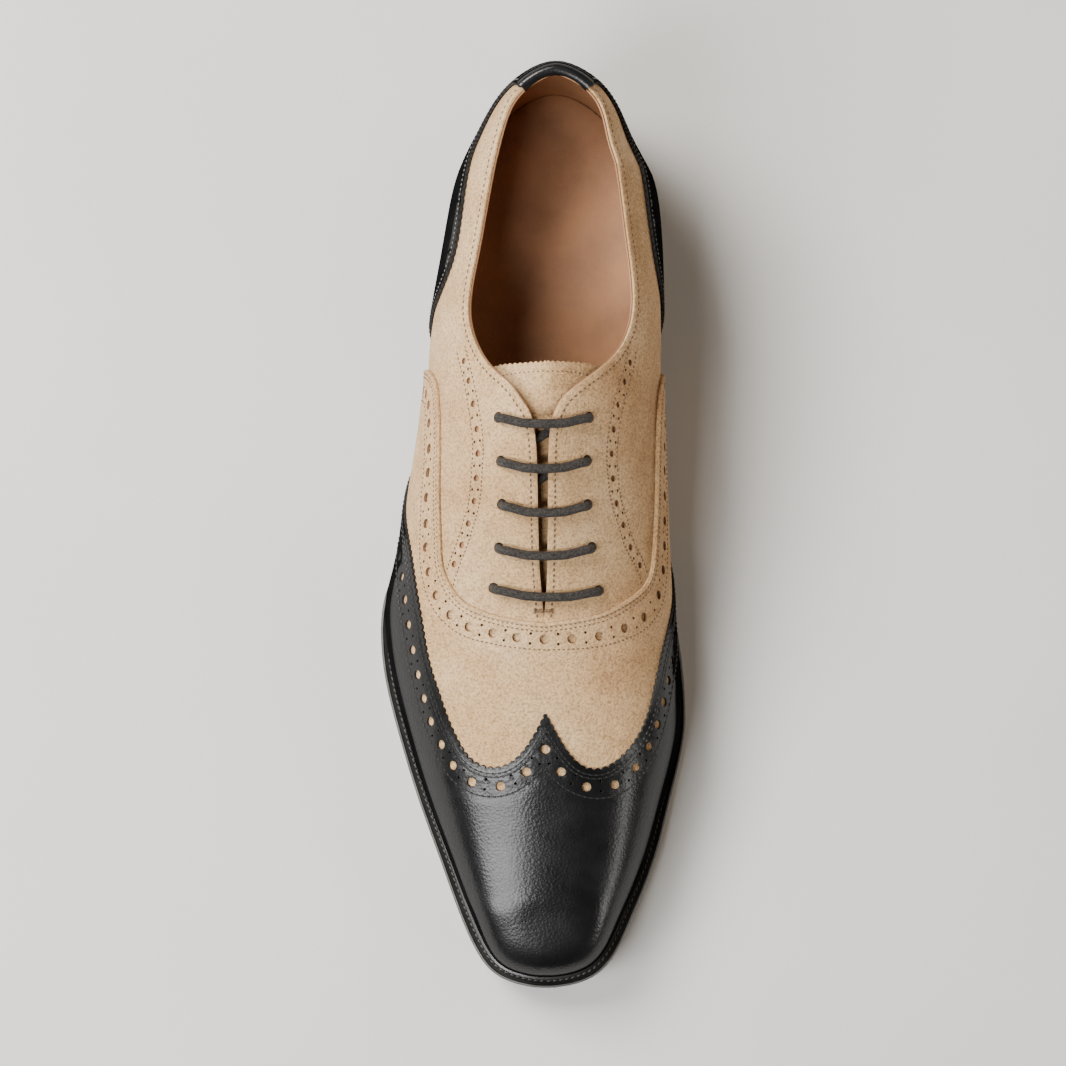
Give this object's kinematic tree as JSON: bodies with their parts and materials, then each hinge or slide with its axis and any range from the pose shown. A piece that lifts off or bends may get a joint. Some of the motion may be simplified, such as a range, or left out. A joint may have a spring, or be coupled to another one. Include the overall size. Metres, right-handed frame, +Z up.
{
  "type": "shoe",
  "caption": "Right-foot lace-up dress shoe with a black wing-tip toe and counter on a light suede upper, a welted leather sole and a stacked heel.",
  "frame": {"origin": "middle of the shoe's box, on the floor it stands on", "axes": "+Z up, -Y towards the toe, +Y towards the heel, -X towards the outer side of the foot, +X towards its inner side"},
  "size_m": [0.1046, 0.3067, 0.0992],
  "materials": {
    "suede": "suede nap",
    "black_calf": "polished grain",
    "edge_leather": "dyed and waxed edge",
    "rubber": "matte",
    "lining_leather": "smooth lining",
    "lace_cord": "waxed round cord"
  },
  "bodies": {
    "root": {"outsole": "edge_leather", "welt": "edge_leather", "insole": "lining_leather", "heel_top_piece": "rubber", "heel_lift_1": "edge_leather", "heel_lift_2": "edge_leather", "heel_lift_3": "edge_leather", "upper": "suede", "vamp": "suede", "wing_cap": "black_calf", "counter": "black_calf", "tongue": "suede", "lace": "lace_cord"}
  },
  "joints": []
}
